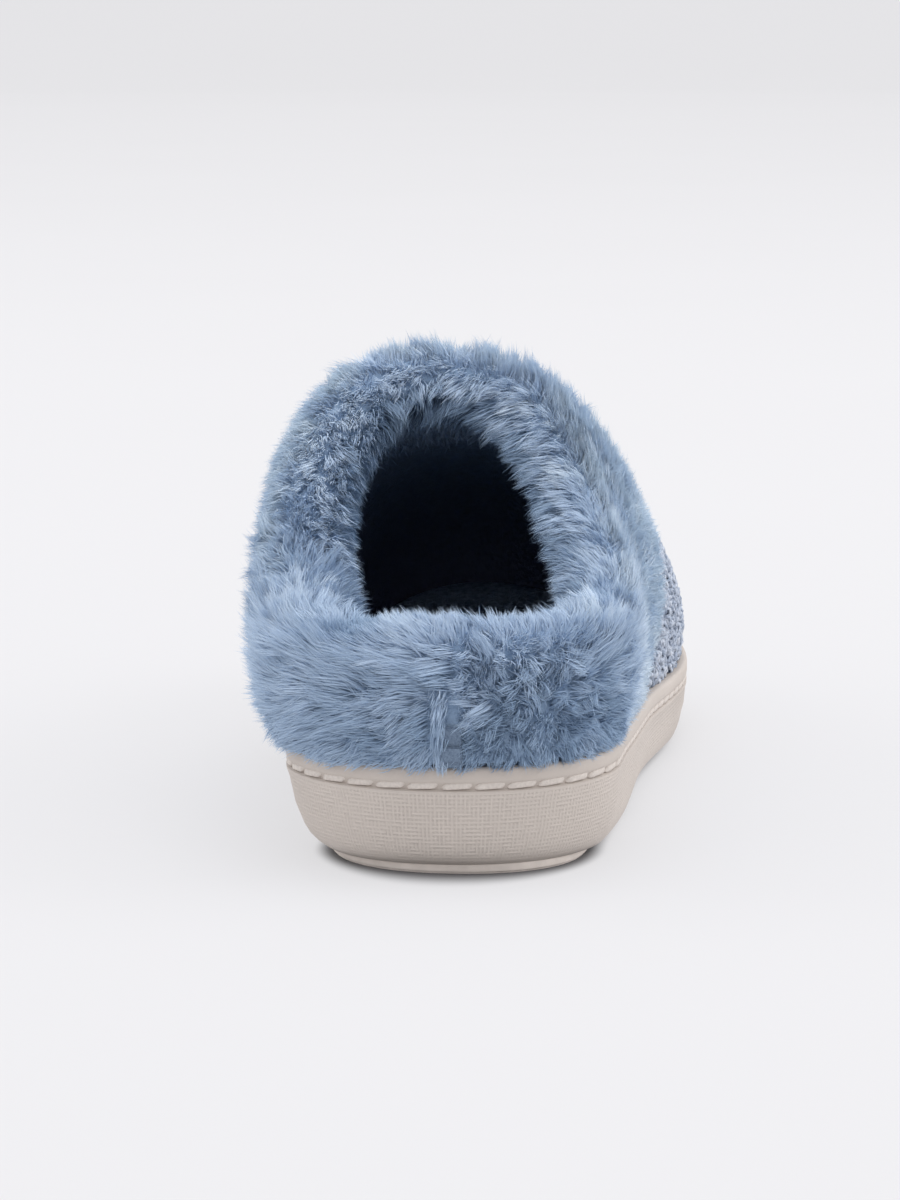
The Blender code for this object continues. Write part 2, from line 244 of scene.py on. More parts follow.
# Side of the sole as in the part, with softer corners. tuck and out: how far out, by the flank's lean and
# everywhere. share and plus: height as a share of the side, and millimetres more. woven: grain's share.
Profile = namedtuple("Profile", "name tuck out share plus woven")
SOLE_SIDE = (
    Profile("tread_edge", -8.4, 0.0, 0.0, LUG_HEIGHT, 0.0),
    Profile("bottom_round_low", -6.6, 0.0, 0.0, 3.5, 0.3),
    Profile("bottom_round_mid", -5.1, 0.0, 0.0, 5.0, 0.8),
    Profile("bottom_round_high", -4.0, 0.0, 0.0, 6.8, 1.0),
    Profile("wall_low", -2.1, 0.0, 0.45, 0.0, 1.0),
    Profile("wall_high", -0.8, 0.0, 0.68, 0.0, 1.0),
    Profile("groove_shoulder", -0.1, 0.0, 1.0, -6.1, 1.0),
    Profile("groove_foot", 0.0, 0.0, 1.0, -5.4, 0.0),
    Profile("groove_floor_low", 0.0, -GROOVE_DEPTH, 1.0, -5.0, 0.0),
    Profile("groove_floor_high", 0.0, -0.6 * GROOVE_DEPTH, 1.0, -3.9, 0.0),
    Profile("groove_head", 0.0, 0.0, 1.0, -3.3, 0.0),
    Profile("lip_low", 0.0, 0.1, 1.0, -2.8, 0.0),
    Profile("lip_outside", 0.0, 0.1, 1.0, -0.9, 0.0),
    Profile("lip_corner", 0.0, -0.25, 1.0, -0.25, 0.0),
    Profile("lip_top", 0.0, -0.9, 1.0, 0.0, 0.0),
    Profile("lip_inside", 0.0, -CUP_WALL, 1.0, -0.3, 0.0),
    Profile("cup_foot", 0.0, -CUP_WALL, 0.0, CUP_FLOOR, 0.0),
)

# Flanks of the sole: share of the side's tuck, and how far in from it the tread's rim starts
Flank = namedtuple("Flank", "name turn lean inset")
FLANKS = (
    Flank("heel", 0.0, 1.0, 0.4),
    Flank("heel_outside", 0.06, 0.8, 0.6),
    Flank("quarter_outside", 0.11, 0.36, 4.5),
    Flank("waist_outside", 0.2, 0.28, 5.0),
    Flank("ball_outside", 0.3, 0.3, 5.0),
    Flank("toe", 0.5, 0.7, 2.5),
    Flank("ball_inside", 0.7, 0.45, 4.0),
    Flank("waist_inside", 0.8, 0.6, 3.5),
    Flank("quarter_inside", 0.88, 0.9, 2.5),
    Flank("heel_inside", 0.94, 1.0, 1.8),
)

# Collar edge: its place, how the wall leaves the sole (rise, flare), and from where it comes to the edge
Collar = namedtuple("Collar", "name turn across along height rise flare out fore drop")
COLLAR = (
    Collar("heel", 0.0, 0.0, 8.0, HEEL_HEIGHT, 9, 2.0, 2, 0, 9),
    Collar("heel_outside", 0.05, 24.5, 19.0, HEEL_HEIGHT - 1, 9, 2.0, 2, 0, 9),
    Collar("quarter_outside", 0.12, 33.0, 50.0, HEEL_HEIGHT + 3, 11, 1.5, 2, 0, 10),
    Collar("instep_outside", 0.21, 28.0, 82.0, INSTEP_HEIGHT - 28, 17, 2.0, 6, 7, 14),
    Collar("shoulder_outside", 0.33, 15.0, 105.0, INSTEP_HEIGHT - 8, 24, 6.0, 14, 28, 13),
    Collar("throat", 0.5, -7.0, 114.0, INSTEP_HEIGHT, 34, 1.0, 0, 68, 24),
    Collar("shoulder_inside", 0.67, -28.0, 105.0, INSTEP_HEIGHT - 6, 26, 3.0, 13, 28, 14),
    Collar("instep_inside", 0.79, -36.5, 82.0, INSTEP_HEIGHT - 24, 20, 3.0, 4, 7, 15),
    Collar("quarter_inside", 0.88, -34.0, 50.0, HEEL_HEIGHT + 4, 12, 2.5, 3, 0, 10),
    Collar("heel_inside", 0.95, -24.5, 19.0, HEEL_HEIGHT - 1, 9, 2.5, 2, 0, 9),
)

# The cuff as in the part. bare: share of the wall below the fur. outside and inside: depths of the pile.
# hem: share of that at the hem. turned_in: how far the fur goes down inside.
Cuff = namedtuple("Cuff", "name turn bare outside inside hem turned_in")
CUFF = (
    Cuff("heel", 0.0, -0.3, 9.0, 6.5, 0.5, 20),
    Cuff("heel_outside", 0.05, -0.3, 8.5, 6.5, 0.42, 20),
    Cuff("quarter_outside", 0.12, -0.3, 6.8, 6.5, 0.22, 20),
    Cuff("instep_outside", 0.21, 0.12, 5.0, 6.5, 0.2, 18),
    Cuff("shoulder_outside", 0.33, 0.55, 5.5, 6.0, 0.35, 14),
    Cuff("throat", 0.5, 0.8, 8.0, 3.0, 0.5, 7),
    Cuff("shoulder_inside", 0.67, 0.5, 9.5, 6.0, 0.45, 14),
    Cuff("instep_inside", 0.79, -0.2, 9.5, 6.5, 0.45, 18),
    Cuff("quarter_inside", 0.88, -0.3, 9.5, 6.5, 0.45, 20),
    Cuff("heel_inside", 0.95, -0.3, 9.5, 6.5, 0.5, 20),
)

# Lay of the fur. aside and lifted: lean to the next turn and up the wall, outside and then inside. stray:
# how far tufts turn from that. fuzz: how far tips stand out of the pile, outside and then inside. low,
# rim,
# crest and deep: painted light and shade, how much paler hairs are at the hem, just below the crest, on it
# and inside
Lay = namedtuple(
    "Lay", "name turn aside lifted inner_aside inner_lifted stray fuzz inner_fuzz low rim crest deep"
)
LAY = (
    Lay("heel", 0.0, -0.9, 0.0, -0.1, 0.4, 0.24, 3.0, 2.5, -0.26, 0.2, -0.12, -0.85),
    Lay("heel_outside", 0.05, 0.1, 0.0, -0.1, 0.4, 0.42, 3.0, 2.5, -0.34, 0.08, -0.12, -0.85),
    Lay("quarter_outside", 0.12, 0.45, 0.5, 0.1, 0.3, 0.25, 2.8, 3.5, 0.15, 0.12, 0.0, -0.6),
    Lay("instep_outside", 0.21, 0.0, 0.9, 0.0, 0.6, 0.25, 2.8, 3.7, 0.28, 0.22, 0.02, -0.6),
    Lay("shoulder_outside", 0.33, 0.0, 0.8, 0.3, 0.5, 0.22, 6.0, 3.4, 0.28, 0.16, 0.02, -0.75),
    Lay("throat", 0.5, 0.0, 0.2, 0.5, 0.3, 0.35, 3.6, 5.0, 0.04, 0.36, -0.12, -0.95),
    Lay("shoulder_inside", 0.67, 0.6, 0.0, 0.7, 0.0, 0.35, 2.6, 3.6, 0.04, 0.36, -0.06, -0.65),
    Lay("instep_inside", 0.79, 0.7, 0.0, 0.8, -0.1, 0.35, 3.4, 3.0, 0.04, 0.26, 0.0, -0.45),
    Lay("quarter_inside", 0.88, -0.2, 0.3, 0.4, -0.1, 0.25, 5.0, 4.4, 0.04, 0.1, 0.02, -0.45),
    Lay("heel_inside", 0.95, -0.9, 0.0, -0.2, 0.3, 0.22, 5.2, 3.0, -0.15, 0.14, -0.06, -0.8),
)

# Soft creases of the roll at the opening's lower corners, and one swell, whose depth is below zero.
# Creases darken their tufts as painted shade; the swell lightens its tufts as painted light.
Crease = namedtuple("Crease", "name turn width depth")
CREASES = (
    Crease("inside_corner", 0.966, 0.011, 0.75),
    Crease("outside_swell", 0.072, 0.018, -0.4),
    Crease("outside_corner", 0.108, 0.01, 0.55),
)


def curve_through(knots, values, at):
    """A smooth cubic curve through the rows of a table, read at each place in at."""
    knots, values, at = (np.asarray(v, float) for v in (knots, values, at))
    tangents = np.gradient(values, knots)
    cell = np.clip(np.searchsorted(knots, at, side="right") - 1, 0, len(knots) - 2)
    width = knots[cell + 1] - knots[cell]
    t = (at - knots[cell]) / width
    return (
        (1 + 2 * t) * (1 - t) ** 2 * values[cell]
        + t * (1 - t) ** 2 * width * tangents[cell]
        + t * t * (3 - 2 * t) * values[cell + 1]
        + t * t * (t - 1) * width * tangents[cell + 1]
    )


def section(column, along):
    """A column of SECTIONS at distances along the shoe."""
    knots = [row.along * LENGTH for row in SECTIONS]
    return curve_through(knots, [getattr(row, column) for row in SECTIONS], along)


def round_shoe(table, column, turns):
    """A column of FLANKS, COLLAR, CUFF or LAY at turns, as a closed loop."""
    knots = [row.turn + lap for lap in (-1, 0, 1) for row in table]
    return curve_through(knots, [getattr(row, column) for row in table] * 3, turns)


def all_round(table, turns):
    """Every column of such a table at turns, as one row of it."""
    row = type(table[0])
    return row("", turns, *(round_shoe(table, name, turns) for name in row._fields[2:]))


def even_turns(count):
    """Turns from the heel by way of the outside, evenly spaced from 0 up to 1."""
    return np.arange(count) / count


def round_end(distance, radius):
    """How much of the full width is left near a rounded end."""
    inside = np.clip(1 - np.asarray(distance) / radius, 0, 1)
    return (1 - inside**ROUND_POWER) ** (1 / ROUND_POWER)


def half_width(along):
    full = section("width", along) * BALL_WIDTH / 2
    return full * round_end(along, HEEL_ROUND) * round_end(LENGTH - along, TOE_ROUND)


def side_path(side, steps):
    """Points on one side of the outline, heel to toe, evenly spaced. side is 1 outside, -1 inside."""
    fine_steps = 600
    along = LENGTH * (1 - np.cos(np.linspace(0, math.pi, fine_steps))) / 2
    across = section("swing", along) + side * half_width(along)
    run = np.concatenate([[0], np.cumsum(np.hypot(np.diff(across), np.diff(along)))])
    even = np.linspace(0, run[-1], steps + 1)
    return np.column_stack([np.interp(even, run, across), np.interp(even, run, along)])


def outline(steps):
    """The sole's outline in plan as (points, outward normals), 2 * steps of each, from the heel."""
    outside, inside = side_path(1, steps), side_path(-1, steps)
    points = np.concatenate([outside[:-1], inside[:0:-1]])
    run = np.roll(points, -1, axis=0) - np.roll(points, 1, axis=0)
    normals = np.column_stack([run[:, 1], -run[:, 0]])
    return points, normals / lengths(normals)[:, None]


def ring(plan, out, share, plus):
    """A closed ring round the shoe: moved out from the outline, at a height of the sole's side."""
    points, normals = plan
    flat = points + np.reshape(out, (-1, 1)) * normals
    rise, edge = np.maximum(section("rise", points[:, 1]), 0), section("edge", points[:, 1])
    return np.column_stack([flat, rise + share * (edge - rise) + plus])


def upper_wall(steps, rows):
    """Outer face of the upper as a grid [row][turn], from the sole's edge up to the collar."""
    points, normals = outline(steps)
    zero = np.zeros(len(points))
    foot = ring((points, normals), -(CUP_WALL + GAP), 1.0, 0.0)
    collar = all_round(COLLAR, even_turns(len(points)))
    edge = np.column_stack([collar.across, collar.along, collar.height])
    leave = np.column_stack([normals * collar.flare[:, None], collar.rise])
    arrive = np.column_stack([normals * collar.out[:, None], -collar.drop])
    arrive += np.column_stack([zero, collar.fore, zero])
    grid = []
    for t in np.linspace(0, 1, rows):
        weights = (1 - t) ** 3, 3 * t * (1 - t) ** 2, 3 * t * t * (1 - t), t**3
        controls = foot, foot + leave, edge + arrive, edge
        grid.append(sum(weight * control for weight, control in zip(weights, controls)))
    return np.array(grid)


def lengths(vectors):
    return np.linalg.norm(vectors, axis=-1)


def unit(vectors):
    """Directions of vectors, each of length 1."""
    tiny = 1e-9
    return vectors / np.maximum(lengths(vectors), tiny)[..., None]


def wall_normals(grid):
    """Outward normals of a wall grid [row][turn]."""
    across_turns = np.roll(grid, -1, axis=1) - np.roll(grid, 1, axis=1)
    return unit(np.cross(across_turns, np.gradient(grid, axis=0)))


def cell_areas(grid):
    return lengths(np.cross(np.gradient(grid, axis=0), np.gradient(grid, axis=1)))


def run_along(points):
    """Distance along a line of points, from the first one."""
    return np.concatenate([[0], np.cumsum(lengths(np.diff(points, axis=0)))])


def read_along(run, values, at):
    """Points or directions that are known along a run, read at each place in at."""
    return np.stack([np.interp(at, run, values[:, k]) for k in range(3)], axis=-1)


def blend(first, second, share):
    return first * (1 - share) + second * share


def tread_rim(turns):
    """How far out from the outline the tread's rim starts, which is below zero."""
    flank = all_round(FLANKS, turns)
    return SOLE_SIDE[0].tuck * flank.lean - flank.inset


def frame_shift():
    """Where the shoe's own origin, behind the heel on the floor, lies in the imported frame, mm."""
    low, high = (np.array(corner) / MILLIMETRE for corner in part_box("sole"))
    lip_out = max(row.out for row in SOLE_SIDE)
    plan = outline(SOLE_STEPS)[0]
    middle = (plan[:, 0].min() + plan[:, 0].max()) / 2
    return np.array([(low[0] + high[0]) / 2 - middle, low[1] + lip_out, low[2]])


SHIFT = frame_shift()


def to_row(points):
    """Millimetres in the shoe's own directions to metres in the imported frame."""
    return (np.asarray(points) + SHIFT) * MILLIMETRE


def new_object(data):
    """An object in the scene with the name of its mesh, light or camera."""
    made = bpy.data.objects.new(data.name, data)
    bpy.context.scene.collection.objects.link(made)
    return made


def new_piece(mesh, materials, replaced=()):
    """A mesh as a piece that rides on the shoe."""
    piece = new_object(mesh)
    for material in materials:
        mesh.materials.append(material)
    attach(piece, "root")
    for node in replaced:
        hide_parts(node)
    return piece


def mesh_from_bmesh(name, built, sharp_angle=40):
    mesh = bpy.data.meshes.new(name)
    built.to_mesh(mesh)
    built.free()
    mesh.shade_smooth()
    mesh.set_sharp_from_angle(angle=math.radians(sharp_angle))
    return mesh


def mesh_from_arrays(name, points, faces_by_size):
    """A smooth mesh from points in millimetres and index arrays, one for each number of corners."""
    points = to_row(points).reshape(-1, 3)
    mesh = bpy.data.meshes.new(name)
    corners = np.concatenate([faces.ravel() for faces in faces_by_size])
    totals = np.concatenate([np.full(len(faces), faces.shape[1]) for faces in faces_by_size])
    mesh.vertices.add(len(points))
    mesh.loops.add(len(corners))
    mesh.polygons.add(len(totals))
    mesh.vertices.foreach_set("co", np.ascontiguousarray(points, np.float32).ravel())
    mesh.loops.foreach_set("vertex_index", corners.astype(np.int32))
    mesh.polygons.foreach_set("loop_start", (np.cumsum(totals) - totals).astype(np.int32))
    mesh.update(calc_edges=True)
    mesh.shade_smooth()
    return mesh


def add_attribute(mesh, name, values):
    """A value for each point of a mesh, that its material reads."""
    attribute = mesh.attributes.new(name, "FLOAT", "POINT")
    attribute.data.foreach_set("value", np.ascontiguousarray(values, np.float32).ravel())


def add_ring(mesh, points):
    return [mesh.verts.new(point) for point in to_row(points)]


def bridge(mesh, lower, upper):
    """Quads between two rings of equal length. Returns the faces, facing out where upper is above."""
    faces = []
    for i in range(len(lower)):
        j = (i + 1) % len(lower)
        faces.append(mesh.faces.new((lower[i], lower[j], upper[j], upper[i])))
    return faces


def skin(mesh, rings):
    """Quads from each ring up to the next."""
    for lower, higher in zip(rings, rings[1:]):
        bridge(mesh, lower, higher)


def ladder(mesh, loop, facing_up):
    """Fills a ring with strips across the shoe. Returns them from heel to toe."""
    count = len(loop)
    faces = []
    for i in range(count // 2):
        outside, inside = (loop[i], loop[i + 1]), (loop[-i - 1], loop[-i % count])
        corners = [v for n, v in enumerate(outside + inside) if v not in (outside + inside)[:n]]
        faces.append(mesh.faces.new(corners if facing_up else corners[::-1]))
    return faces


def ring_quads(index):
    """Quads between neighbouring rings of an index array [...][ring][corner]."""
    follow = np.roll(index, -1, axis=-1)
    corners = index[..., :-1, :], follow[..., :-1, :], follow[..., 1:, :], index[..., 1:, :]
    return np.stack(corners, axis=-1).reshape(-1, 4)


def tube_faces(count, spans, sides):
    """Sides and then caps of closed tubes, whose points run tube by tube and ring by ring."""
    index = np.arange(count * spans * sides).reshape(count, spans, sides)
    return [ring_quads(index), np.concatenate([index[:, 0, ::-1], index[:, -1]])]


class Shader:
    """A material with a Principled shader, and short ways to add and join its nodes."""

    def __init__(self, name, **inputs):
        self.material = bpy.data.materials.new(name)
        self.material.use_nodes = True
        self.nodes = self.material.node_tree.nodes
        self.links = self.material.node_tree.links
        self.shader = self.nodes["Principled BSDF"]
        for socket, value in inputs.items():
            self.shader.inputs[socket.replace("_", " ")].default_value = value

    def node(self, kind, settings=None, **inputs):
        made = self.nodes.new(kind)
        for name, value in (settings or {}).items():
            setattr(made, name, value)
        for socket, value in inputs.items():
            self.plug(value, made.inputs[socket.replace("_", " ")])
        return made

    def plug(self, value, socket):
        if isinstance(value, bpy.types.NodeSocket):
            self.links.new(value, socket)
        else:
            socket.default_value = value

    def math(self, operation, first, second=0.0):
        made = self.node("ShaderNodeMath", {"operation": operation})
        self.plug(first, made.inputs[0])
        self.plug(second, made.inputs[1])
        return made.outputs[0]

    def add_share(self, base, extra, share):
        return self.math("ADD", base, self.math("MULTIPLY", extra, share))

    def attribute(self, name):
        return self.node("ShaderNodeAttribute", {"attribute_name": name}).outputs["Fac"]

    def thread(self, across, along):
        """Relief of parallel threads a unit apart, each raised or sunk by chance along its run."""
        number = self.math("FLOOR", across)
        stretch = self.math("FLOOR", self.math("DIVIDE", self.math("ADD", along, number), 2.0))
        place = self.node("ShaderNodeCombineXYZ", X=number, Y=stretch)
        chance = self.node("ShaderNodeTexWhiteNoise", Vector=place.outputs["Vector"]).outputs["Value"]
        round_top = self.math("ABSOLUTE", self.math("SINE", self.math("MULTIPLY", across, math.pi)))
        level = self.add_share(THREAD_LOWEST, chance, 1 - THREAD_LOWEST)
        return self.math("MULTIPLY", round_top, level)

    def noise(self, scale, detail=4.0):
        made = self.node("ShaderNodeTexNoise", Scale=scale, Detail=detail)
        self.plug(self.node("ShaderNodeTexCoord").outputs["Object"], made.inputs["Vector"])
        return made.outputs["Fac"]

    def colour(self, fac, *stops):
        """Base colour from a ramp through (position, colour) stops."""
        made = self.node("ShaderNodeValToRGB", Fac=fac)
        elements = made.color_ramp.elements
        while len(elements) < len(stops):
            elements.new(0.5)
        for element, (position, colour) in zip(elements, stops):
            element.position = position
            element.color = (*colour, 1.0)
        self.plug(made.outputs["Color"], self.shader.inputs["Base Color"])

    def bump(self, height, strength, depth):
        """Relief of a depth in millimetres."""
        distance = depth * MILLIMETRE
        made = self.node("ShaderNodeBump", Height=height, Strength=strength, Distance=distance)
        self.plug(made.outputs["Normal"], self.shader.inputs["Normal"])


def sole_material():
    """Greige moulded rubber: a soft linen weave on the side, plain on the lip."""
    look = Shader("sole_rubber", Roughness=0.62, Specular_IOR_Level=0.35)
    around, height = look.attribute("around"), look.attribute("height")
    threads = look.math("MAXIMUM", look.thread(around, height), look.thread(height, around))
    woven = look.math("MULTIPLY", threads, look.attribute("woven"))
    pores = look.noise(scale=1400.0, detail=2.0)
    cloudy = look.noise(scale=35.0, detail=3.0)
    tint = look.add_share(look.math("MULTIPLY", woven, 0.4), cloudy, share=0.45)
    look.colour(tint, (0.1, (0.490, 0.438, 0.398)), (0.75, (0.630, 0.566, 0.515)))
    look.bump(look.add_share(woven, pores, share=0.25), strength=0.8, depth=0.4)
    return look.material


def grainy_material(name):
    """One of the plain materials of GRAINS."""
    row = next(row for row in GRAINS if row.name == name)
    look = Shader(name, Roughness=row.roughness, Specular_IOR_Level=row.specular)
    grain = look.noise(row.scale, row.detail)
    look.colour(grain, (GRAIN_DARK_TO, row.dark), (row.pale_from, row.pale))
    look.bump(grain, row.strength, row.depth)
    return look.material


def fur_material(name):
    """Dusty blue hairs: dark at the root, pale at the tip, each tuft differing, and painted light and
    shade.
    """
    look = Shader(name, Roughness=0.7, Specular_IOR_Level=0.12)
    look.colour(
        look.attribute("tone"),
        (0.0, (0.075, 0.125, 0.215)),
        (0.35, (0.305, 0.418, 0.570)),
        (0.70, (0.510, 0.625, 0.775)),
        (1.0, (0.690, 0.785, 0.875)),
    )
    return look.material


def lining_material():
    """Blue plush lining, with painted light at the collar and painted shade deep in the toe."""
    look = Shader("lining_plush", Roughness=0.95, Specular_IOR_Level=0.05)
    nap = look.noise(scale=700.0, detail=6.0)
    tint = look.math("MULTIPLY", look.math("ADD", nap, 0.3), look.attribute("painted_lining_light"))
    look.colour(
        tint,
        (0.0, (0.105, 0.120, 0.195)),
        (0.4, (0.265, 0.360, 0.495)),
        (0.8, (0.620, 0.720, 0.830)),
    )
    look.bump(nap, strength=0.7, depth=1.2)
    return look.material


def knit_material():
    """Blue-grey yarn of the looped knit: pale, mid and dark loops."""
    look = Shader("loop_yarn", Roughness=0.9, Specular_IOR_Level=0.15, Sheen_Weight=0.2)
    fibre = look.noise(scale=2600.0, detail=3.0)
    tone = look.add_share(look.attribute("tone"), look.math("SUBTRACT", fibre, 0.5), share=0.4)
    look.colour(
        tone,
        (0.0, (0.170, 0.212, 0.295)),
        (0.45, (0.395, 0.455, 0.565)),
        (1.0, (0.690, 0.735, 0.820)),
    )
    look.bump(fibre, strength=0.5, depth=0.3)
    return look.material


def sole():
    """The moulded cup with its woven side, stitch groove, lip and tread lugs."""
    bar_pitch, bar_width = 8, 4
    built = bmesh.new()
    plan = outline(SOLE_STEPS)
    count = 2 * SOLE_STEPS
    lean = round_shoe(FLANKS, "lean", even_turns(count))
    half_round = np.sum(lengths(np.roll(plan[0], -1, axis=0) - plan[0])) / 2
    from_heel = (1 - np.abs(np.arange(count) / SOLE_STEPS - 1)) * half_round
    plainer = WEAVE_LEAST + (1 - WEAVE_LEAST) * np.exp(-((from_heel / WEAVE_FADE) ** 2))
    rings, height, woven = [], [], []
    for row in SOLE_SIDE:
        points = ring(plan, row.tuck * lean + row.out, row.share, row.plus)
        rings.append(add_ring(built, points))
        height.append(points[:, 2] / WEAVE_PITCH)
        woven.append(row.woven * plainer)
    around = [from_heel / WEAVE_PITCH] * len(rings)
    skin(built, rings)
    ladder(built, rings[-1], facing_up=True)
    rim = tread_rim(even_turns(count))
    steps = [rings[0]]
    for inward in (0.0, RIM_LUG_WIDTH, RIM_LUG_WIDTH + TREAD_GROOVE):
        steps.append(add_ring(built, ring(plan, rim - inward, 0.0, LUG_HEIGHT)))
    bands = [bridge(built, inner, outer) for outer, inner in zip(steps, steps[1:])]
    bars = ladder(built, steps[-1], facing_up=False)
    for patch in rim_patches(bands[1]):
        lower_lugs(built, patch)
    for first in range(bar_pitch, len(bars) - bar_pitch, bar_pitch):
        lower_lugs(built, bars[first : first + bar_width])
    mesh = mesh_from_bmesh("sole_dressed", built, sharp_angle=50)
    rest = len(mesh.vertices) - len(rings) * count
    for name, rows in (("around", around), ("height", height), ("woven", woven)):
        add_attribute(mesh, name, np.concatenate([*rows, np.zeros(rest)]))
    tread_top = (SHIFT[2] + LUG_HEIGHT + GAP) * MILLIMETRE
    for face in mesh.polygons:
        face.material_index = int(face.center.z < tread_top)
    # The lugs' rubber is painted paler, as painted light on the shaded tread
    materials = [sole_material(), grainy_material("tread_rubber")]
    new_piece(mesh, materials, ["sole"])


def rim_patches(band):
    """Lugs round the tread's rim: one long lug behind the heel, and short ones between notches."""
    heel_lug, lug, notch = 28, 16, 4
    patches = [band[-heel_lug:] + band[:heel_lug]]
    first = heel_lug + notch
    while first + lug <= len(band) - heel_lug - notch:
        patches.append(band[first : first + lug])
        first += lug + notch
    return patches


def lower_lugs(mesh, faces):
    """Pulls a patch of the tread down to the floor as one lug with a soft edge."""
    lug = bmesh.ops.extrude_face_region(mesh, geom=faces)["geom"]
    corners = [item for item in lug if isinstance(item, bmesh.types.BMVert)]
    bottom = [item for item in lug if isinstance(item, bmesh.types.BMFace)]
    bmesh.ops.translate(mesh, vec=(0, 0, -LUG_HEIGHT * MILLIMETRE), verts=corners)
    bmesh.ops.delete(mesh, geom=faces, context="FACES_ONLY")
    edges = dict.fromkeys(edge for face in bottom for edge in face.edges)
    around = [edge for edge in edges if not set(edge.link_faces) <= set(bottom)]
    bmesh.ops.bevel(mesh, geom=around, offset=LUG_ROUND * MILLIMETRE, segments=2, affect="EDGES")


def stitches():
    """Mock stitches: flattened threads that dip into the groove's floor at both ends."""
    fine_steps, spans, sides = 900, 11, 10
    end_power, end_least, dip_power, square_power = 9, 0.05, 8, 0.6
    plan = outline(fine_steps)
    path = ring(plan, -GROOVE_DEPTH + STITCH_PROUD * STITCH_THICK, 1.0, -GROOVE_CENTRE)
    outward = np.column_stack([plan[1], np.zeros(len(path))])
    run = run_along(path)
    count = round(run[-1] / STITCH_PITCH)
    share = np.linspace(-0.5, 0.5, spans)
    to_end = 2 * np.abs(share)
    half = STITCH_THICK / 2 * np.sqrt(np.clip(1 - to_end**end_power, end_least, 1))
    at = (np.arange(count)[:, None] + 0.5) * run[-1] / count + share * STITCH_LENGTH
    out = unit(read_along(run, outward, at))
    up = np.array([0.0, 0.0, 1.0])
    skew = share * STITCH_SKEW
    dip = STITCH_DIP * to_end**dip_power
    place = read_along(run, path, at) + up * skew[None, :, None] - out * dip[None, :, None]
    turn = np.linspace(0, 2 * math.pi, sides, endpoint=False)
    square = np.stack([np.cos(turn), np.sin(turn)])
    square = np.sign(square) * np.abs(square) ** square_power
    section_out = out[:, :, None] * (STITCH_FLATNESS * half[:, None] * square[0])[..., None]
    section_up = up * (half[:, None] * square[1])[..., None]
    slanted = unit(np.gradient(place, axis=1))[:, :, None] * (STITCH_SLANT * square[1][:, None])
    points = place[:, :, None] + section_out + section_up + slanted
    mesh = mesh_from_arrays("stitches", points, tube_faces(count, spans, sides))
    new_piece(mesh, [grainy_material("stitch_thread")])


def insole():
    """The plush-covered foam pad in the cup."""
    built = bmesh.new()
    plan = outline(UPPER_STEPS)
    side = -INSOLE_INSET
    top = CUP_FLOOR + GAP + INSOLE_THICK
    edge = ((0, 2, 0), (0.3, 1, 0), (1, 0.4, 0), (2.2, 0.1, 0), (4, 0, 0), (8, 0, 0.5), (12, 0, 1))
    rows = [(side, CUP_FLOOR + GAP)]
    for inward, crowns, dishes in edge:
        rows.append((side - inward * INSOLE_CROWN, top - crowns * INSOLE_CROWN - dishes * INSOLE_DISH))
    rings = [add_ring(built, ring(plan, out, 0.0, height)) for out, height in rows]
    skin(built, rings)
    ladder(built, rings[0], facing_up=False)
    ladder(built, rings[-1], facing_up=True)
    mesh = mesh_from_bmesh("insole_dressed", built)
    material = grainy_material("footbed_plush")
    piece = new_piece(mesh, [material], ["insole"])


def upper():
    """The knitted shell with its plush lining inside."""
    built = bmesh.new()
    plan = outline(UPPER_STEPS)
    skirt = ring(plan, -(CUP_WALL + GAP), 0.0, CUP_FLOOR + GAP)
    wall = np.array([skirt, *upper_wall(UPPER_STEPS, UPPER_ROWS)])
    skin(built, [add_ring(built, row) for row in wall])
    mesh = mesh_from_bmesh("upper_dressed", built)
    share = np.array([0.0, *np.linspace(0, 1, UPPER_ROWS)])[:, None]
    # The lining's painted light: pale at the collar, with painted shade deep in the toe
    add_attribute(mesh, "painted_lining_light", painted_lining_light(share, wall[:, :, 1]).ravel())
    materials = [grainy_material("knit_ground"), lining_material()]
    piece = new_piece(mesh, materials, ["upper"])
    solid = piece.modifiers.new("wall", "SOLIDIFY")
    solid.thickness = UPPER_WALL * MILLIMETRE
    solid.offset = -1.0
    solid.use_even_offset = True
    solid.material_offset = 1


def painted_lining_light(share, along):
    """Painted light on the lining: most at the collar, less behind the instep, least deep in the toe."""
    behind = np.clip((DARK_TOE - along) / LINING_FADE, 0, 1)
    return np.maximum(share**2, LINING_PAINTED_LIGHT * behind)


